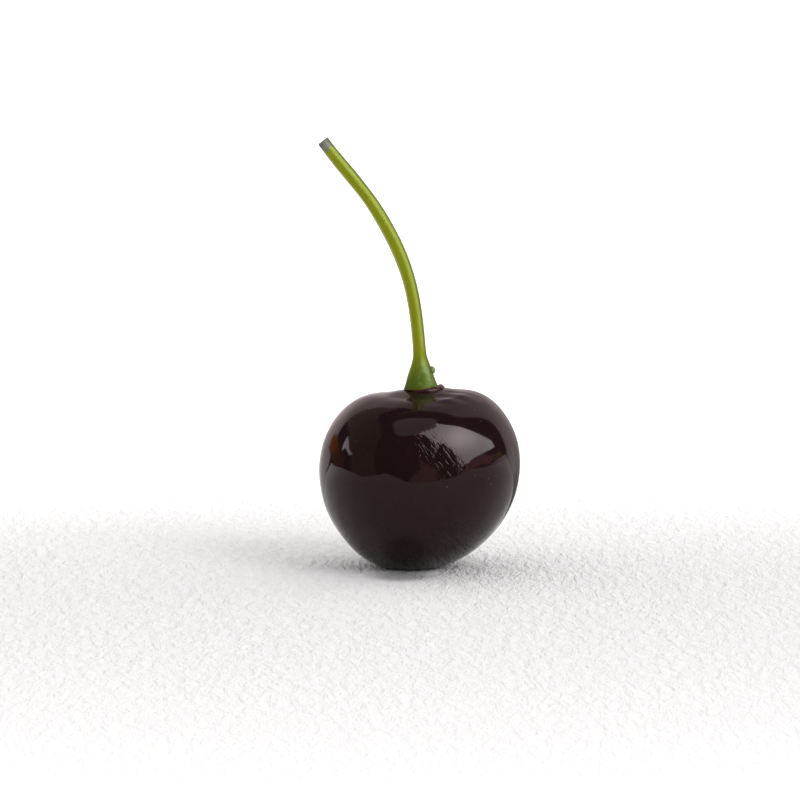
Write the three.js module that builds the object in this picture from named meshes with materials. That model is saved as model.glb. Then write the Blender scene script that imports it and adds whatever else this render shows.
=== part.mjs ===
// A black cherry of the decorative kind: one solid fruit with a nearly flat, two-shouldered top,
// standing on a small flat spot, and a curved green stem whose flared foot sits on the top.
// Millimetres, +Z up, origin at the centre of the flat spot. +Y points to the back.
import * as THREE from "three";

// Fruit: a round body described by polar radii, measured from its own middle.
const FRUIT_RADIUS = 9.95; // mean radius, so about 20 mm across
const TOP_FULLNESS = 0.119; // makes the upper half broader than the lower half
const SQUARENESS = 0.009; // fills the flanks a little
const BASE_TAPER = -0.008; // pulls the lower flanks in
const CROWN_DEPTH = 2.8; // how far the crown is pressed down
const CROWN_ANGLE = Math.PI / 6; // half width of the pressed crown, seen from the middle
const REST_CUT = 0.38; // the height lost to the flat resting spot
const FRUIT_STEPS = 38; // rings from the flat spot to the crown
const FRUIT_SIDES = 52;

// Fruit: how it departs from a turned shape.
const EQUATOR_HEIGHT = 9;
const CROWN_HEIGHT = 17.5;
const AXIS_SWAY = 0.01; // the axis leans over by this much for each mm of height
const BASE_DRIFT = 0.85; // the base is pulled to the left of the axis
const LEAN_SLOPE = 0.046; // the right shoulder stands higher than the left one
const LEAN_HEIGHT = 18.2;
const SHOULDER_RISE = 0.21; // two shoulders, left and right, with a dip from front to back
const SHOULDER_REACH = 6;
const BOSS_RISE = 0.35; // a low swelling under the foot of the stem
const BOSS_REACH = 2.2;
const BOSS_FROM = 12; // the swelling is on the crown only, above this height

// Stem: a round shaft on a flared foot, bent in one upright plane.
const SHAFT_RADIUS = 0.69;
const STEM_LENGTH = 27.2;
const FOOT_OFFSET = 0.28; // from the fruit's axis to the middle of the foot
const FOOT_HEIGHT = 17.73; // underside of the foot
const FLARE_SLOPE = 0.33; // radius gained for each mm towards the foot
const FLARE_LENGTH = 3.35;
const FLARE_BLEND = 0.35; // rounds the change from shaft to flare
const RIM_SPREAD = 0.12; // the last, sharper spread of the foot's rim
const RIM_HEIGHT = 0.35;
const RIM_ROUND = 0.1;
const BASE_LEAN = THREE.MathUtils.degToRad(2.2); // from the vertical, below the bend
const TIP_LEAN = THREE.MathUtils.degToRad(38.9); // from the vertical, above the bend
const BEND_AT = 12.9; // middle of the bend, along the stem
const BEND_SPAN = 6.5;
const BEND_TURN = THREE.MathUtils.degToRad(6); // the plane of the bend, turned towards the back
const FLARE_RINGS = 12;
const SHAFT_RINGS = 26;
const STEM_SIDES = 16;
const ROUTE_STEPS = 400; // steps in adding up the stem's route

// The fruit's axis stands this far from the middle of the flat spot.
const AXIS_OFFSET = BASE_DRIFT + AXIS_SWAY * EQUATOR_HEIGHT;

// Radius of the body at an angle from its upward axis.
function bodyRadius(angle) {
  const round =
    1 +
    TOP_FULLNESS * Math.cos(angle) +
    SQUARENESS * Math.cos(2 * angle) +
    BASE_TAPER * Math.cos(3 * angle);
  const crown = CROWN_DEPTH * Math.exp(-((angle / CROWN_ANGLE) ** 2));
  return FRUIT_RADIUS * round - crown;
}

// Height above the flat spot at an angle from the upward axis; negative where the spot cuts the body.
function bodyHeight(angle) {
  return bodyRadius(angle) * Math.cos(angle) + bodyRadius(Math.PI) - REST_CUT;
}

// The angle at which the body meets the flat spot, found by halving.
function flatSpotAngle() {
  let above = Math.PI / 2;
  let below = Math.PI;
  for (let i = 0; i < 40; i++) {
    const middle = (above + below) / 2;
    if (bodyHeight(middle) > 0) above = middle;
    else below = middle;
  }
  return above;
}

// Moves one point of the turned body to its place on the real fruit.
function shapeFruitPoint(point) {
  const turnedX = point.x;
  const height = point.z;
  const reach = Math.hypot(point.x, point.y);
  const around = Math.atan2(point.y, point.x);
  const upper = Math.max(0, (height - EQUATOR_HEIGHT) / (CROWN_HEIGHT - EQUATOR_HEIGHT));
  const ratio = (reach / SHOULDER_REACH) ** 2;
  const shoulder = SHOULDER_RISE * upper ** 2 * ratio * Math.exp(1 - ratio) * Math.cos(2 * around);
  const fromFoot = Math.hypot(point.x - FOOT_OFFSET, point.y);
  const boss = height > BOSS_FROM ? BOSS_RISE * Math.exp(-((fromFoot / BOSS_REACH) ** 2)) : 0;
  const lean = LEAN_SLOPE * turnedX * (height / LEAN_HEIGHT) ** 2;
  const low = Math.max(0, 1 - height / EQUATOR_HEIGHT);
  point.x += AXIS_OFFSET + AXIS_SWAY * (height - EQUATOR_HEIGHT) - BASE_DRIFT * low ** 3;
  point.z += shoulder + boss + lean;
}

function makeFruit() {
  const profile = [new THREE.Vector2(0, 0)];
  const start = flatSpotAngle();
  for (let i = 0; i <= FRUIT_STEPS; i++) {
    const angle = start * (1 - i / FRUIT_STEPS);
    const onAxis = i === FRUIT_STEPS;
    const reach = onAxis ? 0 : bodyRadius(angle) * Math.sin(angle);
    const height = i === 0 ? 0 : bodyHeight(angle);
    profile.push(new THREE.Vector2(reach, height));
  }
  const geometry = new THREE.LatheGeometry(profile, FRUIT_SIDES);
  geometry.rotateX(Math.PI / 2);
  const position = geometry.getAttribute("position");
  const point = new THREE.Vector3();
  for (let i = 0; i < position.count; i++) {
    point.fromBufferAttribute(position, i);
    shapeFruitPoint(point);
    position.setXYZ(i, point.x, point.y, point.z);
  }
  geometry.computeVertexNormals();
  return geometry;
}

// Angle between the stem and the vertical at a distance along it.
function stemLean(distance) {
  const bent = 0.5 * (1 + Math.tanh((distance - BEND_AT) / BEND_SPAN));
  return BASE_LEAN + (TIP_LEAN - BASE_LEAN) * bent;
}

// How far the stem has gone sideways and up, at a distance along it.
function stemRoute(distance) {
  const step = distance / ROUTE_STEPS;
  let aside = 0;
  let up = 0;
  for (let i = 0; i < ROUTE_STEPS; i++) {
    const lean = stemLean((i + 0.5) * step);
    aside += Math.sin(lean) * step;
    up += Math.cos(lean) * step;
  }
  return { aside, up };
}

// Radius of the stem at a distance above its underside.
function stemRadius(distance) {
  const left = FLARE_LENGTH - distance;
  const flare = FLARE_SLOPE * 0.5 * (left + Math.hypot(left, FLARE_BLEND));
  const rim = RIM_SPREAD * Math.exp(-distance / RIM_HEIGHT);
  return SHAFT_RADIUS + flare + rim;
}

// The straight stem's outline, from the middle of its underside to the middle of its cut tip.
function stemProfile() {
  const profile = [new THREE.Vector2(0, 0)];
  profile.push(new THREE.Vector2(stemRadius(0) - RIM_ROUND, 0));
  const flareEnd = FLARE_LENGTH + 2 * FLARE_BLEND;
  for (let i = 0; i <= FLARE_RINGS; i++) {
    const height = RIM_ROUND + ((flareEnd - RIM_ROUND) * i) / FLARE_RINGS;
    profile.push(new THREE.Vector2(stemRadius(height), height));
  }
  for (let i = 1; i <= SHAFT_RINGS; i++) {
    const height = flareEnd + ((STEM_LENGTH - flareEnd) * i) / SHAFT_RINGS;
    profile.push(new THREE.Vector2(stemRadius(height), height));
  }
  profile.push(new THREE.Vector2(0, STEM_LENGTH));
  return profile;
}

function makeStem() {
  const geometry = new THREE.LatheGeometry(stemProfile(), STEM_SIDES);
  geometry.rotateX(Math.PI / 2);
  const bendDirection = new THREE.Vector3(-Math.cos(BEND_TURN), Math.sin(BEND_TURN), 0);
  const upward = new THREE.Vector3(0, 0, 1);
  const sideways = new THREE.Vector3().crossVectors(upward, bendDirection);
  const position = geometry.getAttribute("position");
  const point = new THREE.Vector3();
  for (let i = 0; i < position.count; i++) {
    const acrossX = position.getX(i);
    const acrossY = position.getY(i);
    const distance = position.getZ(i);
    const { aside, up } = stemRoute(distance);
    const lean = stemLean(distance);
    // The ring's own x axis tips down as the stem leans over.
    const tipped = bendDirection.clone().multiplyScalar(-Math.cos(lean));
    tipped.addScaledVector(upward, Math.sin(lean));
    point.set(AXIS_OFFSET + FOOT_OFFSET, 0, FOOT_HEIGHT);
    point.addScaledVector(bendDirection, aside);
    point.addScaledVector(upward, up);
    point.addScaledVector(tipped, acrossX);
    point.addScaledVector(sideways, -acrossY);
    position.setXYZ(i, point.x, point.y, point.z);
  }
  geometry.computeVertexNormals();
  return geometry;
}

const fruitSkin = new THREE.MeshStandardMaterial({ color: 0x1d0f10, roughness: 0.12, metalness: 0 });
const stemSkin = new THREE.MeshStandardMaterial({ color: 0x7f8724, roughness: 0.45, metalness: 0 });

const fruit = new THREE.Mesh(makeFruit(), fruitSkin);
fruit.name = "fruit";

const stem = new THREE.Mesh(makeStem(), stemSkin);
stem.name = "stem";

const cherry = new THREE.Group();
cherry.name = "cherry";
cherry.add(fruit, stem);

export default cherry;
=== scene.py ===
"""The looks of a black cherry: a lacquered fruit on a small flat spot, with a curved green stem.

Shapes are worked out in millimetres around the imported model, and turned into metres when a mesh is made.
"""

import math

import bpy
import numpy as np
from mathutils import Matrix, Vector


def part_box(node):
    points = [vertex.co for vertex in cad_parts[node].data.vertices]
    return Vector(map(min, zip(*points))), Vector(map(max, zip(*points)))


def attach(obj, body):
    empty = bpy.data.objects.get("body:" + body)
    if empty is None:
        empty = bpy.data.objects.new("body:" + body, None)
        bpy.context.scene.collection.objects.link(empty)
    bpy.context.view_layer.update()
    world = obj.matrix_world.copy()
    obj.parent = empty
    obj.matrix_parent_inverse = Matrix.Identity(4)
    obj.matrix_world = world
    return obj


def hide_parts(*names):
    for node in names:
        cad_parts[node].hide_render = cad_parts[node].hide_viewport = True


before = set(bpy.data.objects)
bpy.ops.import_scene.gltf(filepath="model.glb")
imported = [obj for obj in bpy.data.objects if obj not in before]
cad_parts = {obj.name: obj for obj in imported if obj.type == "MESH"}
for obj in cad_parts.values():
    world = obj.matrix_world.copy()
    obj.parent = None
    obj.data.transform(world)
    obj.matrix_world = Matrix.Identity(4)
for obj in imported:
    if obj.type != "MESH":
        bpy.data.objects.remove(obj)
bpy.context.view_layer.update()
fruit_low, fruit_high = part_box("fruit")
stem_low, stem_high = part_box("stem")

MM = 0.001

# Fruit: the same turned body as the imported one, in millimetres and radians.
FRUIT_RADIUS = 9.95
TOP_FULLNESS = 0.119
SQUARENESS = 0.009
BASE_TAPER = -0.008
CROWN_DEPTH = 2.8
CROWN_ANGLE = math.pi / 6
REST_CUT = 0.38
REST_EDGE = 0.05  # rounding where the flank meets the resting spot
EQUATOR_HEIGHT = 9.0
CROWN_HEIGHT = 17.5
AXIS_SWAY = 0.01
BASE_DRIFT = 0.85
LEAN_SLOPE = 0.046
LEAN_HEIGHT = 18.2
SHOULDER_RISE = 0.21
SHOULDER_REACH = 6.0
AXIS_OFFSET = BASE_DRIFT + AXIS_SWAY * EQUATOR_HEIGHT
CROWN_RINGS = 110
CROWN_SHARE = 0.13  # share of the outline that the crown's finer rings cover
FLANK_RINGS = 190
FRUIT_SIDES = 420

# Stem: a straight profile, bent along its route.
SHAFT_RADIUS = 0.69
STEM_LENGTH = 27.2
FOOT_OFFSET = 0.28
FOOT_HEIGHT = 17.73
FLARE_SLOPE = 0.33
FLARE_LENGTH = 3.35
FLARE_BLEND = 0.35
RIM_SPREAD = 0.12
RIM_HEIGHT = 0.35
RIM_ROUND = 0.16
BASE_LEAN = math.radians(2.2)
TIP_LEAN = math.radians(38.9)
BEND_AT = 12.9
BEND_SPAN = 6.5
BEND_TURN = math.radians(6)
STEM_RINGS = 420
STEM_SIDES = 72

FOOT_X = AXIS_OFFSET + FOOT_OFFSET


# ---------------------------------------------------------------- helpers

def waviness(points, wavelength, seed, count=14):
    """A smooth, seeded unevenness of about unit size at points in millimetres."""
    rng = np.random.default_rng(seed)
    total = np.zeros(len(points))
    for _ in range(count):
        direction = rng.normal(size=3)
        direction /= np.linalg.norm(direction)
        stretch = rng.uniform(0.7, 1.4)
        phase = rng.uniform(0, 2 * math.pi)
        total += np.sin(points @ direction * (2 * math.pi * stretch / wavelength) + phase)
    return total / math.sqrt(count / 2)


def smoothstep(low, high, value):
    share = np.clip((value - low) / (high - low), 0, 1)
    return share * share * (3 - 2 * share)


def bell(value, middle, width, power=2):
    """A smooth hump of height 1, whose sides are steeper for a higher power."""
    return np.exp(-(np.abs((value - middle) / width) ** power))


def as_points(x, y, z):
    """A list of points from grids of coordinates."""
    return np.stack(np.broadcast_arrays(x, y, z), axis=-1).reshape(-1, 3)


def fitting(points, low, high):
    """The scale and shift with which points in millimetres just fill a box given in metres."""
    low = np.array(low) / MM
    high = np.array(high) / MM
    own_low = points.min(axis=0)
    own_high = points.max(axis=0)
    scale = (high - low) / (own_high - own_low)
    return scale, low - own_low * scale


def grid_faces(rings, sides):
    """Quads between neighbouring closed rings of a lofted surface."""
    faces = []
    for ring in range(rings - 1):
        start = ring * sides
        for side in range(sides):
            after = (side + 1) % sides
            faces.append((start + side, start + after, start + sides + after, start + sides + side))
    return faces


def fan_faces(ring_start, sides, centre, reverse):
    """Triangles between a ring and a point in its middle."""
    faces = []
    for side in range(sides):
        start = ring_start + side
        after = ring_start + (side + 1) % sides
        faces.append((after, start, centre) if reverse else (start, after, centre))
    return faces


def closed_faces(rings, sides, flip=False):
    """Faces of a lofted surface that ends in two middle points. Flip turns them the other way out."""
    faces = grid_faces(rings, sides)
    if flip:
        faces = [face[::-1] for face in faces]
    faces += fan_faces(0, sides, rings * sides, not flip)
    faces += fan_faces((rings - 1) * sides, sides, rings * sides + 1, flip)
    return faces


def make_piece(name, points, faces, material, smooth=True):
    """A mesh object from points in millimetres."""
    mesh = bpy.data.meshes.new(name)
    mesh.from_pydata((np.asarray(points) * MM).tolist(), [], faces)
    mesh.polygons.foreach_set("use_smooth", [smooth] * len(mesh.polygons))
    mesh.materials.append(material)
    mesh.update()
    piece = bpy.data.objects.new(name, mesh)
    bpy.context.scene.collection.objects.link(piece)
    return piece


def add_mask(piece, name, values):
    attribute = piece.data.attributes.new(name, "FLOAT", "POINT")
    attribute.data.foreach_set("value", np.asarray(values, dtype=np.float32))


class Nodes:
    """Short calls for building a material's node tree."""

    def __init__(self, name):
        self.material = bpy.data.materials.new(name)
        self.material.use_nodes = True
        self.tree = self.material.node_tree
        self.tree.nodes.clear()
        self.output = self.tree.nodes.new("ShaderNodeOutputMaterial")

    def add(self, kind, inputs=None, **settings):
        node = self.tree.nodes.new("ShaderNode" + kind)
        for key, value in settings.items():
            setattr(node, key, value)
        for key, value in (inputs or {}).items():
            socket = node.inputs[key]
            if isinstance(value, bpy.types.NodeSocket):
                self.tree.links.new(value, socket)
            else:
                socket.default_value = value
        return node

    def place(self):
        """Object coordinates, in metres."""
        return self.add("TexCoord").outputs["Object"]

    def dot(self, vector, direction):
        node = self.add("VectorMath", {0: vector, 1: direction}, operation="DOT_PRODUCT")
        return node.outputs["Value"]

    def stretched(self, vector, first, second, third):
        """Coordinates along three directions, whose lengths set the scale along each."""
        parts = {"X": self.dot(vector, first), "Y": self.dot(vector, second), "Z": self.dot(vector, third)}
        return self.add("CombineXYZ", parts).outputs["Vector"]

    def mask(self, name):
        return self.add("Attribute", attribute_name=name).outputs["Fac"]

    def noise(self, vector, scale, detail=3.0, roughness=0.5, distortion=0.0):
        inputs = {"Vector": vector, "Scale": scale, "Detail": detail,
                  "Roughness": roughness, "Distortion": distortion}
        return self.add("TexNoise", inputs).outputs["Fac"]

    def math(self, operation, first, second=0.0, third=0.0):
        inputs = {0: first, 1: second, 2: third}
        return self.add("Math", inputs, operation=operation).outputs[0]

    def remap(self, value, low, high, to_low=0.0, to_high=1.0):
        inputs = {"Value": value, "From Min": low, "From Max": high,
                  "To Min": to_low, "To Max": to_high}
        return self.add("MapRange", inputs, interpolation_type="SMOOTHSTEP").outputs["Result"]

    def mix(self, share, first, second):
        node = self.add("Mix", data_type="RGBA")
        for key, value in (("Factor_Float", share), ("A_Color", first), ("B_Color", second)):
            socket = next(s for s in node.inputs if s.identifier == key)
            if isinstance(value, bpy.types.NodeSocket):
                self.tree.links.new(value, socket)
            else:
                socket.default_value = value
        return next(s for s in node.outputs if s.identifier == "Result_Color")

    def bump(self, height, distance, strength=1.0, normal=None):
        inputs = {"Height": height, "Distance": distance, "Strength": strength}
        if normal is not None:
            inputs["Normal"] = normal
        return self.add("Bump", inputs).outputs["Normal"]

    def finish(self, shader):
        self.tree.links.new(shader.outputs[0], self.output.inputs["Surface"])
        return self.material


def colour(red, green, blue):
    return (red, green, blue, 1.0)


# ---------------------------------------------------------------- camera

AIM_LEFT = 0.095  # the camera aims left of the fruit's middle, as a share of its width
AIM_HEIGHT = 0.942  # and near its top, as a share of its height
FRAME_WIDTH = 3.975  # width of the view, in widths of the fruit
CAMERA_DISTANCE = 0.45
CAMERA_ELEVATION = math.radians(7)

fruit_width = fruit_high.x - fruit_low.x
fruit_middle_x = (fruit_low.x + fruit_high.x) / 2
fruit_middle_z = (fruit_low.z + fruit_high.z) / 2


def add_camera():
    data = bpy.data.cameras.new("camera")
    data.sensor_width = 36
    data.lens = data.sensor_width * CAMERA_DISTANCE / (FRAME_WIDTH * fruit_width)
    camera = bpy.data.objects.new("camera", data)
    aim_x = fruit_middle_x - AIM_LEFT * fruit_width
    aim_z = AIM_HEIGHT * fruit_high.z
    back = CAMERA_DISTANCE * math.cos(CAMERA_ELEVATION)
    rise = CAMERA_DISTANCE * math.sin(CAMERA_ELEVATION)
    camera.location = (aim_x, -back, aim_z + rise)
    camera.rotation_euler = (math.pi / 2 - CAMERA_ELEVATION, 0, 0)
    bpy.context.scene.collection.objects.link(camera)
    bpy.context.scene.camera = camera


add_camera()


# ---------------------------------------------------------------- materials

SKIN_DARK = colour(0.0095, 0.0043, 0.0045)
SKIN_LIGHT = colour(0.0132, 0.0055, 0.0057)
SKIN_CLOUD = colour(0.022, 0.006, 0.006)
SKIN_FLECK = colour(0.10, 0.035, 0.012)
SKIN_SPECK = colour(0.09, 0.07, 0.07)
SKIN_GLOSS = colour(1.0, 0.74, 0.76)
CLOUD_SHARE = 0.35
# Directions along, across and into a brush stroke. Their lengths set its proportions.
STROKE_ALONG = (0.14, 0.0, -0.25)
STROKE_ACROSS = (0.87, 0.0, 0.50)
STROKE_INWARD = (0.0, 0.6, 0.0)

LIP_DARK = colour(0.020, 0.004, 0.006)
LIP_RED = colour(0.048, 0.008, 0.011)

OLIVE_DARK = colour(0.175, 0.213, 0.001)
OLIVE_LIGHT = colour(0.24, 0.266, 0.006)
OLIVE_BLOTCH = colour(0.36, 0.33, 0.05)
# Painted light for the shaft's stripe that faces the window light.
OLIVE_PAINTED_LIGHT = colour(0.27, 0.32, 0.045)
# Painted highlight for the shaft's pale stripe on its left.
OLIVE_PAINTED_SHEEN = colour(0.40, 0.40, 0.13)
GREEN_DARK = colour(0.040, 0.075, 0.001)
GREEN_LIGHT = colour(0.095, 0.135, 0.004)
# Painted highlight on the flare.
GREEN_HIGHLIGHT = colour(0.17, 0.22, 0.07)
RIM_BROWN = colour(0.075, 0.07, 0.004)
TIP_DARK = colour(0.07, 0.075, 0.055)
TIP_LIGHT = colour(0.27, 0.27, 0.22)
# Painted shade along the stem's left and right sides.
EDGE_SHADE_GREEN = colour(0.075, 0.09, 0.017)
EDGE_SHADE_SHARE = 0.65
STEM_ROUGHNESS = 0.42
TIP_EXTRA_ROUGHNESS = 0.25
BEAD_GREEN = colour(0.23, 0.30, 0.12)


def skin_material():
    n = Nodes("black_lacquer_skin")
    place = n.place()
    base = n.mix(n.noise(place, scale=260, detail=4, roughness=0.6), SKIN_DARK, SKIN_LIGHT)
    cloud = n.remap(n.noise(place, scale=900, detail=3, roughness=0.6), 0.5, 0.75)
    base = n.mix(n.math("MULTIPLY", cloud, CLOUD_SHARE), base, SKIN_CLOUD)
    base = n.mix(n.mask("fleck"), base, SKIN_FLECK)
    speck = n.remap(n.noise(place, scale=3400, detail=1, roughness=0.4), 0.78, 0.80)
    base = n.mix(speck, base, SKIN_SPECK)
    # Brush-like strokes in the lacquer of the front, along the edge of the window's reflection.
    brushed = n.stretched(place, STROKE_ALONG, STROKE_ACROSS, STROKE_INWARD)
    strokes = n.remap(n.noise(brushed, scale=2000, detail=2, roughness=0.5, distortion=1.8), 0.50, 0.70)
    strokes = n.math("MULTIPLY", strokes, n.mask("scuff"))
    ripple = n.noise(place, scale=420, detail=2, roughness=0.5)
    grit = n.noise(place, scale=2600, detail=2, roughness=0.5)
    normal = n.bump(ripple, distance=0.00002, strength=0.4)
    normal = n.bump(grit, distance=0.000003, strength=0.25, normal=normal)
    normal = n.bump(strokes, distance=0.000018, strength=1.0, normal=normal)
    haze = n.noise(place, scale=700, detail=3, roughness=0.6)
    rough = n.remap(haze, 0.3, 0.8, to_low=0.045, to_high=0.085)
    shader = n.add("BsdfPrincipled", {
        "Base Color": base, "Roughness": rough, "IOR": 1.30, "Normal": normal,
        "Specular Tint": SKIN_GLOSS,
    })
    return n.finish(shader)


def lip_material():
    n = Nodes("dark_red_lacquer")
    place = n.place()
    base = n.mix(n.noise(place, scale=1500, detail=3, roughness=0.6), LIP_DARK, LIP_RED)
    lumps = n.noise(place, scale=2400, detail=2, roughness=0.5)
    normal = n.bump(lumps, distance=0.00003, strength=0.5)
    shader = n.add("BsdfPrincipled", {
        "Base Color": base, "Roughness": 0.22, "IOR": 1.22, "Normal": normal,
    })
    return n.finish(shader)


def stem_material():
    """Olive on the shaft, leaf green on the flare and bare grey at the cut tip."""
    n = Nodes("green_stem")
    place = n.place()
    around = n.add("Attribute", attribute_name="grain").outputs["Vector"]
    streak = n.noise(around, scale=5.0, detail=4, roughness=0.65)
    fibre = n.noise(around, scale=16.0, detail=3, roughness=0.6)
    blotch = n.noise(place, scale=700, detail=4, roughness=0.6)
    olive = n.mix(streak, OLIVE_DARK, OLIVE_LIGHT)
    olive = n.mix(n.remap(blotch, 0.55, 0.8, to_high=0.5), olive, OLIVE_BLOTCH)
    # Painted light: a lighter stripe where one flat side of the shaft faces the window light.
    olive = n.mix(n.mask("lit_stripe"), olive, OLIVE_PAINTED_LIGHT)
    # Painted highlight: a pale stripe on the shaft's left stands in for the backdrop's reflection.
    olive = n.mix(n.mask("edge"), olive, OLIVE_PAINTED_SHEEN)
    green = n.mix(blotch, GREEN_DARK, GREEN_LIGHT)
    # Painted highlight: a mottled pale green patch on the right of the flare's front.
    pale = n.remap(n.noise(place, scale=900, detail=4, roughness=0.65), 0.42, 0.6)
    green = n.mix(n.math("MULTIPLY", pale, n.mask("glow")), green, GREEN_HIGHLIGHT)
    base = n.mix(n.mask("leafy"), olive, green)
    base = n.mix(n.mask("rim"), base, RIM_BROWN)
    grey = n.mix(n.remap(fibre, 0.3, 0.7), TIP_DARK, TIP_LIGHT)
    base = n.mix(n.mask("bare"), base, grey)
    # Painted shade: a darker green along the stem's left and right sides.
    base = n.mix(n.math("MULTIPLY", n.mask("painted_edge_shade"), EDGE_SHADE_SHARE), base, EDGE_SHADE_GREEN)
    grit = n.noise(place, scale=2600, detail=3, roughness=0.6)
    normal = n.bump(streak, distance=0.00003, strength=0.5)
    normal = n.bump(grit, distance=0.000012, strength=0.5, normal=normal)
    rough = n.math("MULTIPLY_ADD", n.mask("bare"), TIP_EXTRA_ROUGHNESS, STEM_ROUGHNESS)
    shader = n.add("BsdfPrincipled", {
        "Base Color": base, "Roughness": rough, "IOR": 1.22, "Normal": normal,
    })
    return n.finish(shader)


def bead_material():
    n = Nodes("clear_bead")
    lumps = n.noise(n.place(), scale=3000, detail=2, roughness=0.5)
    normal = n.bump(lumps, distance=0.00002, strength=0.4)
    shader = n.add("BsdfPrincipled", {
        "Base Color": BEAD_GREEN, "Roughness": 0.12, "IOR": 1.36,
        "Transmission Weight": 0.5, "Normal": normal,
    })
    return n.finish(shader)


skin = skin_material()
lip_skin = lip_material()
stem_skin = stem_material()
bead_skin = bead_material()


# ---------------------------------------------------------------- fruit

SWELLS = ((0.012, 6.0, 3), (0.004, 2.6, 5))  # rise, wavelength and seed of the slow unevenness
EVEN_BELOW = 1.5  # the unevenness fades out from this height down to the resting spot
CROWN_START = (12, 14)  # heights between which the changes to the crown set in

# The seat rises under the stem's foot. In front of it the skin falls to the right.
SEAT_RISE = 0.79
SEAT_REACH = 2.7
RAMP_FALL = 0.09
RAMP_PLACE = (0.8, -4.9)  # right and back
RAMP_STEEPNESS = 0.9
RAMP_REACH = (3.0, 1.4)

# Soft folds lie to the right of the foot and in front of it. Bearings are in radians, 0 is right.
FOLD_RISE = 0.03
FOLD_START = (2.4, 3.6)  # distances from the foot between which the folds set in
FOLD_END = (5.0, 7.0)
FOLD_SQUASH = 0.35  # distances to the right count for this much, so the folds run from left to right
FOLD_SLANT = 0.12
FOLD_BEARING = -0.8
FOLD_SPREAD = 0.7
FOLD_WAVELENGTH = 1.5
FOLD_SEED = 8
FOLD_WAVES = 7
RIDGE_RISE = 0.065
RIDGE_REACH = 4.9
RIDGE_WIDTH = 0.45
RIDGE_BEARING = -1.05
RIDGE_SPREAD = 0.6

# Small departures from the turned body.
BASE_SAG = 0.10  # the base is fuller by this much
SAG_END = (0.2, 4.5)  # heights between which the extra fullness ends
SAG_MORE_AT_RIGHT = 0.6
RIGHT_SIDE = (1, 6)  # distances to the right between which that sets in
KEPT_UP_BELOW = 6  # below this height the fuller base is kept above the floor
KEPT_UP_ROUND = 0.03
SHOULDER_DROP = 0.07
SHOULDER_START = (2.5, 4.0)  # distances from the foot
FLANK_PUSH = (0.07, 11.5, 4)  # amount, height and spread of a shift to the right
LEFT_SWELL = (0.08, 4.8, 2)  # the same for a swelling of the lower left
LEFT_SIDE = (1, 5)  # distances to the left between which it sets in

# Marks on the skin: a brushed patch, a brown dot and a red chip.
SCUFF_PLACE = (3.3, 12.4)  # right and up
SCUFF_ALONG = 2.9
SCUFF_ACROSS = 1.35
SCUFF_SHIFT = 0.35
BROWN_DOT = (5.6, -0.9, 17.7)
RED_CHIP = (10.6, -0.9, 8.6)
DOT_SIZE = 0.12
CHIP_SIZE = 0.22


def body_radius(angle):
    rounding = 1 + TOP_FULLNESS * np.cos(angle) + SQUARENESS * np.cos(2 * angle)
    rounding = rounding + BASE_TAPER * np.cos(3 * angle)
    return FRUIT_RADIUS * rounding - CROWN_DEPTH * bell(angle, 0, CROWN_ANGLE)


def body_outline():
    """Reach and height of every ring from the crown down, and the heights of the two middles."""
    crown = np.linspace(0, CROWN_SHARE, CROWN_RINGS, endpoint=False)
    flank = np.linspace(CROWN_SHARE, 1, FLANK_RINGS)
    angle = math.pi * np.concatenate([crown, flank])
    reach = body_radius(angle) * np.sin(angle)
    raw = body_radius(angle) * np.cos(angle) + body_radius(math.pi) - REST_CUT
    height = 0.5 * (raw + np.hypot(raw, REST_EDGE))
    return reach[1:-1], height[1:-1], height[0], height[-1]


def shape_fruit(reach, height, around):
    """Points of the turned body, moved to their places on the real fruit."""
    x = reach * np.cos(around)
    y = reach * np.sin(around)
    upper = np.clip((height - EQUATOR_HEIGHT) / (CROWN_HEIGHT - EQUATOR_HEIGHT), 0, None)
    ratio = (reach / SHOULDER_REACH) ** 2
    shoulder = SHOULDER_RISE * upper ** 2 * ratio * np.exp(1 - ratio) * np.cos(2 * around)
    lean = LEAN_SLOPE * x * (height / LEAN_HEIGHT) ** 2
    low = np.clip(1 - height / EQUATOR_HEIGHT, 0, None)
    shifted = x + AXIS_OFFSET + AXIS_SWAY * (height - EQUATOR_HEIGHT) - BASE_DRIFT * low ** 3
    return as_points(shifted, y, height + shoulder + lean)


def fruit_surface():
    """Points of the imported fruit's shape, closed at the crown and at the resting spot."""
    reach, height, top, bottom = body_outline()
    around = np.linspace(0, 2 * math.pi, FRUIT_SIDES, endpoint=False)
    flanks = shape_fruit(reach[:, None], height[:, None], around[None, :])
    crown = shape_fruit(0.0, top, 0.0)
    base = shape_fruit(0.0, bottom, 0.0)
    points = np.concatenate([flanks, crown, base])
    scale, shift = fitting(points, fruit_low, fruit_high)
    return points * scale + shift, len(reach)


def add_swell(points):
    """Slow unevenness of the moulded body and its lacquer, none at the resting spot."""
    outward = points - np.array([AXIS_OFFSET, 0, EQUATOR_HEIGHT])
    outward /= np.linalg.norm(outward, axis=1)[:, None]
    swell = sum(rise * waviness(points, wavelength, seed) for rise, wavelength, seed in SWELLS)
    free = smoothstep(0.0, EVEN_BELOW, points[:, 2])
    points += outward * (swell * free)[:, None]


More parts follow.
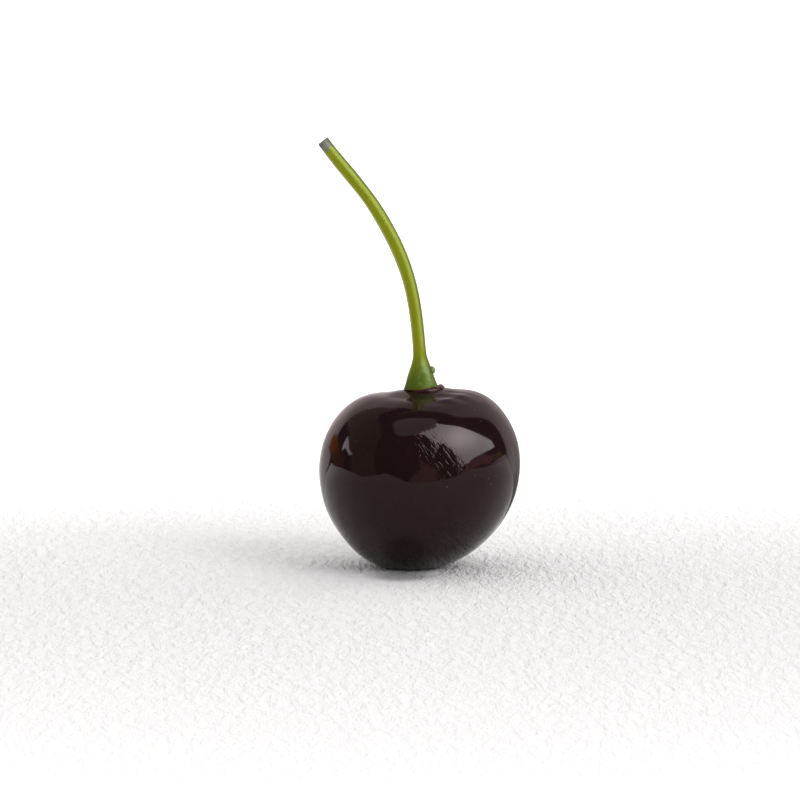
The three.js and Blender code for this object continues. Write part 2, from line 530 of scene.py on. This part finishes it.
def shape_crown(points, from_foot, crown):
    """Shapes the skin round the stem's foot: its seat, the fall to the right, folds and a ridge."""
    x = points[:, 0]
    y = points[:, 1]
    dx = x - FOOT_X
    bearing = np.arctan2(y, dx)
    points[:, 2] += crown * SEAT_RISE * bell(from_foot, 0, SEAT_REACH, 3)

    ramp = np.tanh((x - RAMP_PLACE[0]) / RAMP_STEEPNESS) * bell(y, RAMP_PLACE[1], RAMP_REACH[1])
    ramp *= bell(x, RAMP_PLACE[0], RAMP_REACH[0])
    points[:, 2] -= crown * RAMP_FALL * ramp

    fold_side = bell(bearing, FOLD_BEARING, FOLD_SPREAD) * smoothstep(*FOLD_START, from_foot)
    fold_side *= 1 - smoothstep(*FOLD_END, from_foot)
    folded = as_points(FOLD_SQUASH * dx, y + FOLD_SLANT * dx, 0.0)
    folds = waviness(folded, FOLD_WAVELENGTH, FOLD_SEED, FOLD_WAVES)
    points[:, 2] += crown * FOLD_RISE * fold_side * folds

    away = ((from_foot - RIDGE_REACH) / RIDGE_WIDTH) ** 2 + ((bearing - RIDGE_BEARING) / RIDGE_SPREAD) ** 2
    points[:, 2] += crown * RIDGE_RISE * np.exp(-away)


def correct_body(points, from_foot, crown):
    """Small departures from the turned body: a fuller base and flanks, and slightly lower shoulders."""
    height = points[:, 2].copy()
    sag = BASE_SAG * (1 + SAG_MORE_AT_RIGHT * smoothstep(*RIGHT_SIDE, points[:, 0]))
    sag *= 1 - smoothstep(*SAG_END, height)
    sunk = height - sag
    kept_up = 0.5 * (sunk + np.hypot(sunk, KEPT_UP_ROUND))
    points[:, 2] = np.where(height < KEPT_UP_BELOW, kept_up, height)
    points[:, 2] -= SHOULDER_DROP * crown * smoothstep(*SHOULDER_START, from_foot)
    points[:, 0] += FLANK_PUSH[0] * bell(height, *FLANK_PUSH[1:])
    points[:, 0] -= LEFT_SWELL[0] * bell(height, *LEFT_SWELL[1:]) * smoothstep(*LEFT_SIDE, -points[:, 0])


def add_skin_masks(fruit, points):
    # The brushed patch runs down to the right, at 45 degrees.
    beside = points[:, 0] - SCUFF_PLACE[0]
    above = points[:, 2] - SCUFF_PLACE[1]
    along = (beside - above) * math.sqrt(0.5)
    across = (beside + above) * math.sqrt(0.5)
    away = (along / SCUFF_ALONG) ** 4 + (np.abs(across + SCUFF_SHIFT) / SCUFF_ACROSS) ** 3
    add_mask(fruit, "scuff", np.exp(-away) * (points[:, 1] < 0))
    dot = np.linalg.norm(points - np.array(BROWN_DOT), axis=1)
    chip = np.linalg.norm(points - np.array(RED_CHIP), axis=1)
    fleck = bell(dot, 0, DOT_SIZE, 4) + bell(chip, 0, CHIP_SIZE, 4)
    add_mask(fruit, "fleck", np.clip(fleck, 0, 1))


def make_fruit():
    points, rings = fruit_surface()
    add_swell(points)
    from_foot = np.hypot(points[:, 0] - FOOT_X, points[:, 1])
    crown = smoothstep(*CROWN_START, points[:, 2])
    shape_crown(points, from_foot, crown)
    correct_body(points, from_foot, crown)
    fruit = make_piece("fruit_skin", points, closed_faces(rings, FRUIT_SIDES, flip=True), skin)
    add_skin_masks(fruit, points)
    return fruit


fruit = make_fruit()
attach(fruit, "root")
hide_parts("fruit")


# ---------------------------------------------------------------- lip of lacquer at the stem's foot

# Bearing in degrees, 0 is right and -90 the front, then half thickness and height.
LIP_COURSE = (
    (-128, 0.02, 17.58),
    (-110, 0.12, 17.61),
    (-92, 0.20, 17.66),
    (-70, 0.29, 17.69),
    (-45, 0.37, 17.72),
    (-15, 0.40, 17.73),
    (10, 0.38, 17.73),
    (35, 0.32, 17.69),
    (60, 0.18, 17.60),
    (85, 0.02, 17.50),
)
LIP_RING = 1.86  # radius of the lip's middle line round the foot
LIP_STEPS = 90
LIP_SIDES = 20
LIP_TALLNESS = 1.05
LIP_LUMP = 0.10
LIP_FINE_LUMP = 0.05


def make_lip():
    """A crescent of lacquer that hugs the right side of the foot."""
    places, thicknesses, heights = np.array(LIP_COURSE).T
    bearing = np.linspace(places[0], places[-1], LIP_STEPS)
    thick = np.interp(bearing, places, thicknesses)
    height = np.interp(bearing, places, heights)
    bearing = np.radians(bearing)
    lump = 1 + LIP_LUMP * np.sin(5 * bearing + 0.8) + LIP_FINE_LUMP * np.sin(13 * bearing)
    thick = (thick * lump)[:, None]
    around = np.linspace(0, 2 * math.pi, LIP_SIDES, endpoint=False)[None, :]
    ring = LIP_RING + thick * np.cos(around)
    x = FOOT_X + ring * np.cos(bearing)[:, None]
    y = ring * np.sin(bearing)[:, None]
    z = height[:, None] + LIP_TALLNESS * thick * np.sin(around)
    points = as_points(x, y, z)
    ends = points.reshape(LIP_STEPS, LIP_SIDES, 3)[[0, -1]].mean(axis=1)
    points = np.concatenate([points, ends])
    return make_piece("lacquer_lip", points, closed_faces(LIP_STEPS, LIP_SIDES, flip=True), lip_skin)


lip = make_lip()
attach(lip, "root")


# ---------------------------------------------------------------- stem

FACETS = (-40, -108, -172, 120, 45)  # bearings of the stem's flattened sides, in degrees
FACET_SHARPNESS = 26.0
FACET_FADE = 6  # degrees over which a facet's colour fades at its sides
LEAST_ROUNDING = 0.3  # the share of the flattening that is taken back on the shaft
FULLY_ROUND = (0.05, 0.6)  # parts of the flare between which the rest of it is taken back too
TIP_TAPER = 0.05
TIP_TAPER_SPAN = (24.6, 26.6)
TIP_SHIFT = 0.24
TIP_SHIFT_SPAN = (19.0, 25.5)
TIP_ROUND = 0.12
TIP_SHRINK = 0.1  # the rounding at the tip's edge takes this share of the radius
BEND_BULGE = 0.10  # extra on the inner side of the bend
BULGE_AT = 15.0
BULGE_REACH = 3.5
FLARE_SPREAD = 1.2
FLARE_SLIMMING = 0.06
STEM_SWELL = 0.012
STEM_SWELL_SEED = 11
STEM_SWELL_WAVELENGTH = 5.0
GRAIN_STRETCH = 0.12  # units of grain for each millimetre along the stem

# Paint along the stem, in millimetres from its foot, and round it, in radians. 0 is right and the front
# is negative.
BARE_FROM = 26.2
BARE_TONGUE = 2.2  # the bare tip reaches lower by this much on its left
BARE_BEARING = math.radians(-165)
BARE_SPREAD = 0.42
BARE_FADE = 0.12
BARE_RAGGEDNESS = 0.15
WARM_BEARING = math.radians(-160)  # less leaf green on this side of the flare
WARM_SPREAD = 0.7
WARM_SHARE = 0.6
LEAFY_END = (1.4, 4.2)  # leaf green below, olive above
WARM_START = (0.4, 1.6)
RIM_END = (0.15, 0.5)  # the foot's brown rim
HIGHLIGHT_BEARING = -1.0  # a painted highlight: a pale patch on the right of the flare's front
HIGHLIGHT_SPREAD = 0.55
HIGHLIGHT_START = (0.3, 0.8)
HIGHLIGHT_END = (2.6, 4.0)
EDGE_SHADE_START = (0.2, 0.6)
EDGE_SHADE_SIDES = (0.80, 0.96)  # how far to either side the painted shade along the stem's sides begins and is full, as a part of the radius
SHAFT_PAINT = (3.4, 5.0)  # the shaft's long stripes set in here
LIT_STRIPE = (-40, 17)  # bearing and half width of a stripe of painted light where a flat side faces the window light, in degrees
SHEEN_STRIPE = (-144, 14)  # the same for the palest stripe, a painted highlight that stands in for the backdrop's reflection


def stem_lean(distance):
    return BASE_LEAN + (TIP_LEAN - BASE_LEAN) * 0.5 * (1 + np.tanh((distance - BEND_AT) / BEND_SPAN))


def stem_radius(distance):
    left = FLARE_LENGTH - distance
    flare = FLARE_SLOPE * 0.5 * (left + np.hypot(left, FLARE_BLEND))
    return SHAFT_RADIUS + flare + RIM_SPREAD * np.exp(-distance / RIM_HEIGHT)


def stem_section(around):
    """The stem's outline across: a round bar with a few flattened sides."""
    total = np.zeros(len(around))
    for facet in FACETS:
        total += np.clip(np.cos(around - math.radians(facet)), 0, None) ** FACET_SHARPNESS
    section = total ** (-1 / FACET_SHARPNESS)
    return section / section.max()


def turned_from(around, bearing):
    """The angle from one bearing to others, in radians, between half a turn back and half a turn on."""
    return np.angle(np.exp(1j * (around - bearing)))


def facet_mask(around, bearing, half_width):
    """The part of the way round that lies near a bearing, both given in degrees."""
    away = np.degrees(np.abs(turned_from(around, math.radians(bearing))))
    return 1 - smoothstep(half_width - FACET_FADE, half_width + FACET_FADE, away)


def stem_frames(distance):
    """The stem's route, and the two directions in which each of its rings lies."""
    lean = stem_lean(distance)
    step = distance[1] - distance[0]
    middle_lean = 0.5 * (lean[1:] + lean[:-1])
    aside = np.concatenate([[0], np.cumsum(np.sin(middle_lean) * step)])
    up = np.concatenate([[0], np.cumsum(np.cos(middle_lean) * step)])
    bend = np.array([-math.cos(BEND_TURN), math.sin(BEND_TURN), 0])
    upward = np.array([0, 0, 1.0])
    sideways = np.cross(upward, bend)
    route = np.array([FOOT_X, 0, FOOT_HEIGHT]) + aside[:, None] * bend + up[:, None] * upward
    tipped = -np.cos(lean)[:, None] * bend + np.sin(lean)[:, None] * upward
    return route, tipped, sideways


def sweep(frames, ring, around):
    """Points at the given reach from the stem's route, for every ring and bearing."""
    route, tipped, sideways = frames
    points = route[:, None, :] + (ring * np.cos(around))[:, :, None] * tipped[:, None, :]
    points -= (ring * np.sin(around))[:, :, None] * sideways[None, None, :]
    return points.reshape(-1, 3)


def stem_rings(distance, around):
    """How far the stem's surface lies from its route, for every ring and bearing."""
    radius = stem_radius(distance)
    foot_round = np.clip(1 - distance / RIM_ROUND, 0, 1)
    foot_cut = RIM_ROUND * (1 - np.sqrt(1 - foot_round ** 2))
    flare_part = np.clip((radius - SHAFT_RADIUS) / FLARE_SPREAD, 0, 1)
    rounding = LEAST_ROUNDING + (1 - LEAST_ROUNDING) * smoothstep(*FULLY_ROUND, flare_part)
    section = stem_section(around)[None, :]
    section = section + (1 - section) * rounding[:, None]
    taper = 1 - TIP_TAPER * smoothstep(*TIP_TAPER_SPAN, distance) - FLARE_SLIMMING * flare_part
    end_round = np.sqrt(1 - np.clip(1 - (STEM_LENGTH - distance) / TIP_ROUND, 0, 1) ** 2)
    body = (radius - foot_cut) * taper * (1 - TIP_SHRINK + TIP_SHRINK * end_round)
    bulge = BEND_BULGE * bell(distance, BULGE_AT, BULGE_REACH)
    inner_side = np.clip(-np.cos(around), 0, None)
    return body[:, None] * section + bulge[:, None] * inner_side[None, :]


def add_stem_masks(stem, distance, around):
    """Where the stem's paint changes. Each mask ends with its values at the middles of foot and tip."""
    along = distance[:, None]
    around = around[None, :]
    tongue = bell(turned_from(around, BARE_BEARING), 0, BARE_SPREAD)
    bare_from = BARE_FROM - BARE_TONGUE * tongue + BARE_RAGGEDNESS * np.sin(5 * around)
    warm_side = bell(turned_from(around, WARM_BEARING), 0, WARM_SPREAD)
    highlight_side = bell(turned_from(around, HIGHLIGHT_BEARING), 0, HIGHLIGHT_SPREAD)
    on_shaft = smoothstep(*SHAFT_PAINT, along)
    warm = WARM_SHARE * warm_side * smoothstep(*WARM_START, along)
    leafy = (1 - smoothstep(*LEAFY_END, along)) * (1 - warm)
    glow = highlight_side * (1 - smoothstep(*HIGHLIGHT_END, along)) * smoothstep(*HIGHLIGHT_START, along)
    # Painted shade along the stem's left and right sides, from just above the foot.
    painted_edge_shade = smoothstep(*EDGE_SHADE_SIDES, np.abs(np.cos(around))) * smoothstep(*EDGE_SHADE_START, along)
    masks = (
        ("lit_stripe", facet_mask(around, *LIT_STRIPE) * on_shaft, (0, 0)),
        ("edge", facet_mask(around, *SHEEN_STRIPE) * on_shaft, (0, 0)),
        ("bare", smoothstep(-BARE_FADE, BARE_FADE, along - bare_from), (0, 1)),
        ("leafy", leafy, (1, 0)),
        ("rim", 1 - smoothstep(*RIM_END, along), (1, 0)),
        ("glow", glow, (0, 0)),
        ("painted_edge_shade", painted_edge_shade, (0, 0)),
    )
    for name, values, ends in masks:
        everywhere = np.broadcast_to(values, (STEM_RINGS, STEM_SIDES))
        add_mask(stem, name, np.concatenate([everywhere.ravel(), ends]))


def make_stem():
    distance = np.linspace(0, STEM_LENGTH, STEM_RINGS)
    around = np.linspace(0, 2 * math.pi, STEM_SIDES, endpoint=False)
    frames = stem_frames(distance)
    packed = np.repeat(stem_radius(distance)[:, None], STEM_SIDES, axis=1)
    scale, shift = fitting(sweep(frames, packed, around), stem_low, stem_high)

    # The grain runs along the stem: its bearing as two parts, and its distance from the foot.
    grain = as_points(np.cos(around)[None, :], np.sin(around)[None, :], distance[:, None] * GRAIN_STRETCH)
    swell = STEM_SWELL * waviness(grain * np.array([2.0, 2.0, 8.0]), STEM_SWELL_WAVELENGTH, STEM_SWELL_SEED)
    ring = stem_rings(distance, around) + swell.reshape(STEM_RINGS, STEM_SIDES)
    points = sweep(frames, ring, around)
    tipped = frames[1]
    tip_shift = TIP_SHIFT * smoothstep(*TIP_SHIFT_SPAN, distance)
    points -= np.repeat(tip_shift[:, None] * tipped, STEM_SIDES, axis=0)
    points = points * scale + shift
    foot_middle = points[:STEM_SIDES].mean(axis=0)
    tip_middle = points[-STEM_SIDES:].mean(axis=0)
    points = np.concatenate([points, [foot_middle, tip_middle]])
    stem = make_piece("stem_shaft", points, closed_faces(STEM_RINGS, STEM_SIDES), stem_skin)

    add_stem_masks(stem, distance, around)
    vectors = np.concatenate([grain, [[0, 0, 0], [0, 0, GRAIN_STRETCH * STEM_LENGTH]]])
    attribute = stem.data.attributes.new("grain", "FLOAT_VECTOR", "POINT")
    attribute.data.foreach_set("vector", vectors.astype(np.float32).ravel())
    return stem


stem = make_stem()
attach(stem, "root")
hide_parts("stem")


# ---------------------------------------------------------------- bead on the stem's flare

BEAD_RADIUS = 0.29
BEAD_HALF_HEIGHT = 0.38
BEAD_LUMP = 0.06
BEAD_LEAN = math.radians(14)
BEAD_MIDDLE = (FOOT_X + 1.03, -0.15, 19.66)
BEAD_RINGS = 24
BEAD_SIDES = 28


def make_bead():
    """A small clear droplet on the right side of the stem's flare."""
    polar = np.linspace(0, math.pi, BEAD_RINGS + 2)[1:-1, None]
    around = np.linspace(0, 2 * math.pi, BEAD_SIDES, endpoint=False)[None, :]
    lump = 1 + BEAD_LUMP * np.cos(2 * around + 0.5) * np.sin(polar)
    reach = BEAD_RADIUS * np.sin(polar) * lump
    upright = as_points(reach * np.cos(around), reach * np.sin(around), BEAD_HALF_HEIGHT * np.cos(polar))
    upright = np.concatenate([upright, [[0, 0, BEAD_HALF_HEIGHT], [0, 0, -BEAD_HALF_HEIGHT]]])
    points = upright.copy()
    points[:, 0] = upright[:, 0] * math.cos(BEAD_LEAN) - upright[:, 2] * math.sin(BEAD_LEAN)
    points[:, 2] = upright[:, 0] * math.sin(BEAD_LEAN) + upright[:, 2] * math.cos(BEAD_LEAN)
    points += np.array(BEAD_MIDDLE)
    return make_piece("stem_bead", points, closed_faces(BEAD_RINGS, BEAD_SIDES, flip=True), bead_skin)


bead = make_bead()
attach(bead, "root")


# ---------------------------------------------------------------- studio

DOME_RADIUS = 600.0
DOME_COLUMNS = 600
DOME_ROWS = 170
DOME_TOP = 89.9  # degrees
ROW_CROWDING = 1.15  # the rows lie closer together low down
SKIRT_HEIGHT = 0.3  # the dome's skirt lies this far above the floor

# The white backdrop rises behind the object and leans over it, less so at its right.
BACKDROP_EDGE = 0.63  # how far back its edge lies, as part of a unit direction
BACKDROP_DIP = 0.48
BACKDROP_DIP_AT = 0.40
BACKDROP_DIP_WIDTH = 0.38
BACKDROP_FADE = 0.035
MIDDLE_LIGHT = 0.48  # right behind the object the backdrop is darker
CEILING_MIDDLE = (-0.09, -0.24)  # a pale patch overhead, a little to the left and the front
CEILING_REACH = (0.30, 0.29)
CEILING_LIGHT = (0.92, 0.98, 1.02)
ROOM_DARK = (0.05, 0.03, 0.055)
WALL_LIGHT = (0.30, 0.26, 0.19)
CLOUD = (57, 42)  # the brightest part of the sky in the window
CLOUD_WIDTH = 26
CLOUD_HEIGHT = 17
SKY_IN_WINDOW = 5.5
CLOUD_IN_WINDOW = 7.0
WINDOW_TINT = (1.0, 1.14, 1.13)

# Outlines give azimuth from the front, positive to the right, and elevation, both in degrees.
# The floor's reflection ends here, all the way round.
FLOOR_EDGE = (
    (-180, -26), (-146, -26), (-124, 0), (-90, 0), (-65, -4), (-40, 0), (-8, -8), (28, -7), (58, 0),
    (100, 3), (118, 3), (126, -8), (142, -26), (180, -26),
)
# Things in the dark room in front.
WALL = ((-50, -9), (-60, 30), (-66, 47), (-92, 57), (-160, 57), (-160, -9))
CUPBOARD = ((-82, -9), (-90, 11), (-112, 27), (-145, 27), (-145, -9))
LAMP = ((-140, 12), (-127, 16), (-112, 10), (-134, 3))
LAMP_FOOT = ((-138, 5), (-122, 8), (-98, 10), (-99, 2), (-112, -1))
PICTURE = ((-113, 25), (-109, 12), (-105, 17), (-94, 12), (-88, 14), (-99, 18), (-106, 24))
CHAIR = ((-4, 20), (4, 12), (19, 3), (18, -9), (-12, -9), (0, 5))
SILL = ((49, -2), (58, 10), (78, 12), (92, 8), (88, 3), (72, 4))
SILL_END = ((90, 10), (108, 8), (112, 3), (92, 4))
WINDOW = (
    (52, 75), (70, 57), (84, 41), (101, 22), (101, 16), (64, 12), (48, 3), (44, 16), (36, 32), (32, 39),
    (20, 43), (4, 57), (-10, 58), (10, 66), (30, 65),
)
# Outline, light, and softness of the edge in degrees. A later thing covers an earlier one.
THINGS = (
    (LAMP_FOOT, (0.25, 0.13, 0.05), 1.5),
    (LAMP, (0.60, 0.17, 0.015), 1.6),
    (PICTURE, (3.2, 3.6, 3.8), 0.6),
    (CHAIR, (0.75, 0.50, 0.46), 2.5),
    (SILL, (1.1, 0.55, 0.55), 1.5),
    (SILL_END, (0.5, 0.38, 0.15), 2.0),
)
WALL_SOFTNESS = 1.5
CUPBOARD_SOFTNESS = 2.0
WINDOW_SOFTNESS = 0.7


def inside(azimuth, elevation, outline, softness):
    """How far each direction lies inside an outline, from 0 to 1."""
    nearest = np.full(azimuth.shape, 1e9)
    crossings = np.zeros(azimuth.shape, dtype=int)
    corners = np.array(outline, dtype=float)
    for (x0, y0), (x1, y1) in zip(corners, np.roll(corners, -1, axis=0)):
        along = (azimuth - x0) * (x1 - x0) + (elevation - y0) * (y1 - y0)
        along = np.clip(along / ((x1 - x0) ** 2 + (y1 - y0) ** 2), 0, 1)
        away = np.hypot(azimuth - x0 - along * (x1 - x0), elevation - y0 - along * (y1 - y0))
        nearest = np.minimum(nearest, away)
        if y0 != y1:
            level = x0 + (elevation - y0) * (x1 - x0) / (y1 - y0)
            crossings += ((y0 > elevation) != (y1 > elevation)) & (azimuth < level)
    signed = np.where(crossings % 2 == 1, nearest, -nearest)
    return smoothstep(-softness, softness, signed)


def laid_over(seen, share, light):
    """The light that is seen where another light covers a share of it."""
    share = share[..., None]
    return seen * (1 - share) + share * np.asarray(light)


def backdrop_light(azimuth, elevation):
    """The lit backdrop behind the object, slightly warm, and darker towards the room."""
    side = np.abs(azimuth)
    darkening = 0.80 - 0.50 * smoothstep(-16, 14, elevation)
    turn = side + 16 * (1 - smoothstep(-16, -2, elevation))
    right = 1.0 - darkening * smoothstep(122, 152, turn)
    left = 0.68 + 0.30 * smoothstep(-18, -4, elevation) - 0.28 * smoothstep(15, 35, elevation)
    level = np.where(azimuth > 0, right, left)
    middle = smoothstep(155, 178, side) * smoothstep(0, 25, elevation)
    level = level + (MIDDLE_LIGHT - level) * middle
    paler = 0.14 * (1 - smoothstep(-10, 6, elevation))
    return np.stack([level, level * (0.84 + paler), level * (0.83 + paler)], axis=-1)


def surroundings(azimuth, elevation):
    """The colour of the light that comes to the object's gloss from each direction."""
    flat = np.cos(np.radians(elevation))
    rightward = flat * np.sin(np.radians(azimuth))
    backward = -flat * np.cos(np.radians(azimuth))
    seen = backdrop_light(azimuth, elevation)

    dip = BACKDROP_DIP * bell(rightward, BACKDROP_DIP_AT, BACKDROP_DIP_WIDTH)
    room = 1 - smoothstep(-BACKDROP_FADE, BACKDROP_FADE, backward - (BACKDROP_EDGE - dip))
    seen = laid_over(seen, room, ROOM_DARK)
    aside = (rightward - CEILING_MIDDLE[0]) / CEILING_REACH[0]
    ahead = (backward - CEILING_MIDDLE[1]) / CEILING_REACH[1]
    ceiling = 1 - smoothstep(0.7, 1.5, aside ** 4 + ahead ** 4)
    seen = laid_over(seen, ceiling, CEILING_LIGHT)

    cupboard = inside(azimuth, elevation, CUPBOARD, CUPBOARD_SOFTNESS)
    wall = inside(azimuth, elevation, WALL, WALL_SOFTNESS) * room * (1 - cupboard)
    seen = laid_over(seen, wall, WALL_LIGHT)
    for outline, light, softness in THINGS:
        seen = laid_over(seen, inside(azimuth, elevation, outline, softness), light)
    cloud = ((azimuth - CLOUD[0]) / CLOUD_WIDTH) ** 2 + ((elevation - CLOUD[1]) / CLOUD_HEIGHT) ** 2
    strength = SKY_IN_WINDOW + CLOUD_IN_WINDOW * np.exp(-cloud)
    sky = strength[..., None] * np.array(WINDOW_TINT)
    return laid_over(seen, inside(azimuth, elevation, WINDOW, WINDOW_SOFTNESS), sky)


def hide_from(obj, *rays):
    for ray in rays:
        setattr(obj, "visible_" + ray, False)


def add_surroundings():
    """A dome round the object that only its gloss sees, down to where the floor's reflection ends."""
    azimuth = np.linspace(-180, 180, DOME_COLUMNS, endpoint=False)
    lowest = np.interp(azimuth, *np.array(FLOOR_EDGE, dtype=float).T)
    share = np.linspace(0, 1, DOME_ROWS)[:, None] ** ROW_CROWDING
    elevation = lowest[None, :] + (DOME_TOP - lowest[None, :]) * share
    azimuth = np.broadcast_to(azimuth[None, :], elevation.shape)
    centre = np.array([fruit_middle_x, 0, fruit_middle_z]) / MM
    drop = np.sin(np.radians(np.clip(-elevation, 0.01, None)))
    distance = np.minimum(DOME_RADIUS, (centre[2] - SKIRT_HEIGHT) / drop)
    flat = np.cos(np.radians(elevation)) * distance
    x = centre[0] + flat * np.sin(np.radians(azimuth))
    y = centre[1] - flat * np.cos(np.radians(azimuth))
    z = centre[2] + np.sin(np.radians(elevation)) * distance
    points = as_points(x, y, z)
    n = Nodes("surroundings")
    light = n.add("Attribute", attribute_name="light").outputs["Color"]
    material = n.finish(n.add("Emission", {"Color": light}))
    dome = make_piece("surroundings", points, grid_faces(DOME_ROWS, DOME_COLUMNS), material)
    colours = np.ones((len(points), 4), dtype=np.float32)
    colours[:, :3] = surroundings(azimuth, elevation).reshape(-1, 3)
    attribute = dome.data.attributes.new("light", "FLOAT_COLOR", "POINT")
    attribute.data.foreach_set("color", colours.ravel())
    hide_from(dome, "camera", "diffuse", "shadow", "transmission")


add_surroundings()

FLOOR_HALF = 2000.0
PAPER_DARK = colour(0.80, 0.792, 0.794)
PAPER_LIGHT = colour(0.85, 0.845, 0.847)
# A painted contact shadow darkens the paper round where the object stands: its colour, middle, share and
# fade.
PAINTED_CONTACT_SHADOW = colour(0.14, 0.14, 0.14)
CONTACT_SHADOW_PLACE = (-0.0008, -0.0065, 0.0)  # in metres
CREASE_TURN = (0.0, 0.0, 0.3)
CREASE_STRETCH = (1.0, 0.36, 1.0)
CONTACT_SHADOW_SHARE = 0.62
CONTACT_SHADOW_END = (0.0012, 0.0041)
CREASES_END = (0.03, 0.13)  # distances in metres between which the creases fade out
GLOW_BEHIND = (-0.005, 0.11)
GLOW_FAR_OFF = (0.2, 0.6)
FLOOR_GLOW = 0.4
WHITE = colour(1, 1, 1)


def floor_material():
    """Creased white paper, with a painted contact shadow where the object stands. It glows where it runs
    out of sight, so that it meets the white backdrop.
    """
    n = Nodes("pale_floor")
    place = n.place()
    split = n.add("SeparateXYZ", {"Vector": place})
    behind = n.remap(split.outputs["Y"], *GLOW_BEHIND)
    reach = n.add("VectorMath", {0: place}, operation="LENGTH").outputs["Value"]
    away = n.remap(reach, *GLOW_FAR_OFF)
    lift = n.math("MAXIMUM", behind, away)
    creased = n.add("Mapping", {"Vector": place, "Rotation": CREASE_TURN, "Scale": CREASE_STRETCH})
    crease = n.noise(creased.outputs["Vector"], scale=1150, detail=4, roughness=0.62, distortion=0.6)
    pulp = n.noise(place, scale=2600, detail=3, roughness=0.6)
    near = n.math("SUBTRACT", 1.0, n.remap(reach, *CREASES_END))
    normal = n.bump(n.math("MULTIPLY", crease, near), distance=0.0014, strength=0.6)
    normal = n.bump(n.math("MULTIPLY", pulp, near), distance=0.0006, strength=0.5, normal=normal)
    tone = n.mix(crease, PAPER_DARK, PAPER_LIGHT)
    # Painted contact shadow: the paper is darkened round where the object stands on it.
    from_contact_shadow = n.add("VectorMath", {0: place, 1: CONTACT_SHADOW_PLACE}, operation="DISTANCE").outputs["Value"]
    spot = n.math("SUBTRACT", 1.0, n.remap(from_contact_shadow, *CONTACT_SHADOW_END))
    tone = n.mix(n.math("MULTIPLY", spot, CONTACT_SHADOW_SHARE), tone, PAINTED_CONTACT_SHADOW)
    matte = n.add("BsdfDiffuse", {"Color": tone, "Normal": normal})
    glow = n.add("Emission", {"Color": WHITE, "Strength": n.math("MULTIPLY", lift, FLOOR_GLOW)})
    both = n.add("AddShader", {0: matte.outputs[0], 1: glow.outputs[0]})
    return n.finish(both)


def add_floor():
    half = FLOOR_HALF
    points = [(-half, -half, 0), (half, -half, 0), (half, half, 0), (-half, half, 0)]
    floor = make_piece("floor", points, [(0, 1, 2, 3)], floor_material(), smooth=False)


add_floor()

SHELL_RADIUS = 1950.0
SHELL_SIDES = 48
SHELL_RINGS = 16
SHELL_SPAN = (-2, 60)  # degrees above the horizon


def add_backdrop():
    """A white shell far away, which only the camera sees."""
    around = np.linspace(0, 2 * math.pi, SHELL_SIDES, endpoint=False)[None, :]
    elevation = np.radians(np.linspace(*SHELL_SPAN, SHELL_RINGS))[:, None]
    x = SHELL_RADIUS * np.cos(elevation) * np.cos(around)
    y = SHELL_RADIUS * np.cos(elevation) * np.sin(around)
    points = as_points(x, y, SHELL_RADIUS * np.sin(elevation))
    n = Nodes("white_far")
    material = n.finish(n.add("Emission", {"Color": WHITE, "Strength": 1.0}))
    shell = make_piece("backdrop", points, grid_faces(SHELL_RINGS, SHELL_SIDES), material)
    hide_from(shell, "diffuse", "glossy", "shadow", "transmission")


add_backdrop()

SKY_LEVEL = 0.86
SKY_BACKWARD = 0.60  # added for light from the back, taken away for light from the front
SKY_UPWARD = 0.25
SKY_TINT = colour(1.0, 0.99, 0.985)


def add_world():
    """Soft white light that is brighter from behind the object than from the front."""
    world = bpy.data.worlds.new("studio")
    world.use_nodes = True
    tree = world.node_tree
    background = tree.nodes["Background"]
    background.inputs["Color"].default_value = SKY_TINT
    direction = tree.nodes.new("ShaderNodeTexCoord")
    split = tree.nodes.new("ShaderNodeSeparateXYZ")
    tree.links.new(direction.outputs["Generated"], split.inputs["Vector"])
    backward = tree.nodes.new("ShaderNodeMath")
    backward.operation = "MULTIPLY_ADD"
    tree.links.new(split.outputs["Y"], backward.inputs[0])
    backward.inputs[1].default_value = SKY_BACKWARD
    backward.inputs[2].default_value = SKY_LEVEL
    upward = tree.nodes.new("ShaderNodeMath")
    upward.operation = "MULTIPLY_ADD"
    tree.links.new(split.outputs["Z"], upward.inputs[0])
    upward.inputs[1].default_value = SKY_UPWARD
    tree.links.new(backward.outputs[0], upward.inputs[2])
    tree.links.new(upward.outputs[0], background.inputs["Strength"])
    bpy.context.scene.world = world


add_world()

WINDOW_LIGHT = 1.42
WINDOW_LIGHT_SIZE = math.radians(38)
WINDOW_LIGHT_TURN = math.radians(48)  # it comes from this far to the right of the front
WINDOW_LIGHT_RISE = math.radians(31)


def add_window_light():
    data = bpy.data.lights.new("window_light", "SUN")
    data.energy = WINDOW_LIGHT
    data.angle = WINDOW_LIGHT_SIZE
    light = bpy.data.objects.new("window_light", data)
    light.rotation_euler = (math.pi / 2 - WINDOW_LIGHT_RISE, 0, WINDOW_LIGHT_TURN)
    hide_from(light, "glossy", "camera")
    bpy.context.scene.collection.objects.link(light)


add_window_light()

scene = bpy.context.scene
scene.view_settings.view_transform = "Standard"
scene.view_settings.look = "None"
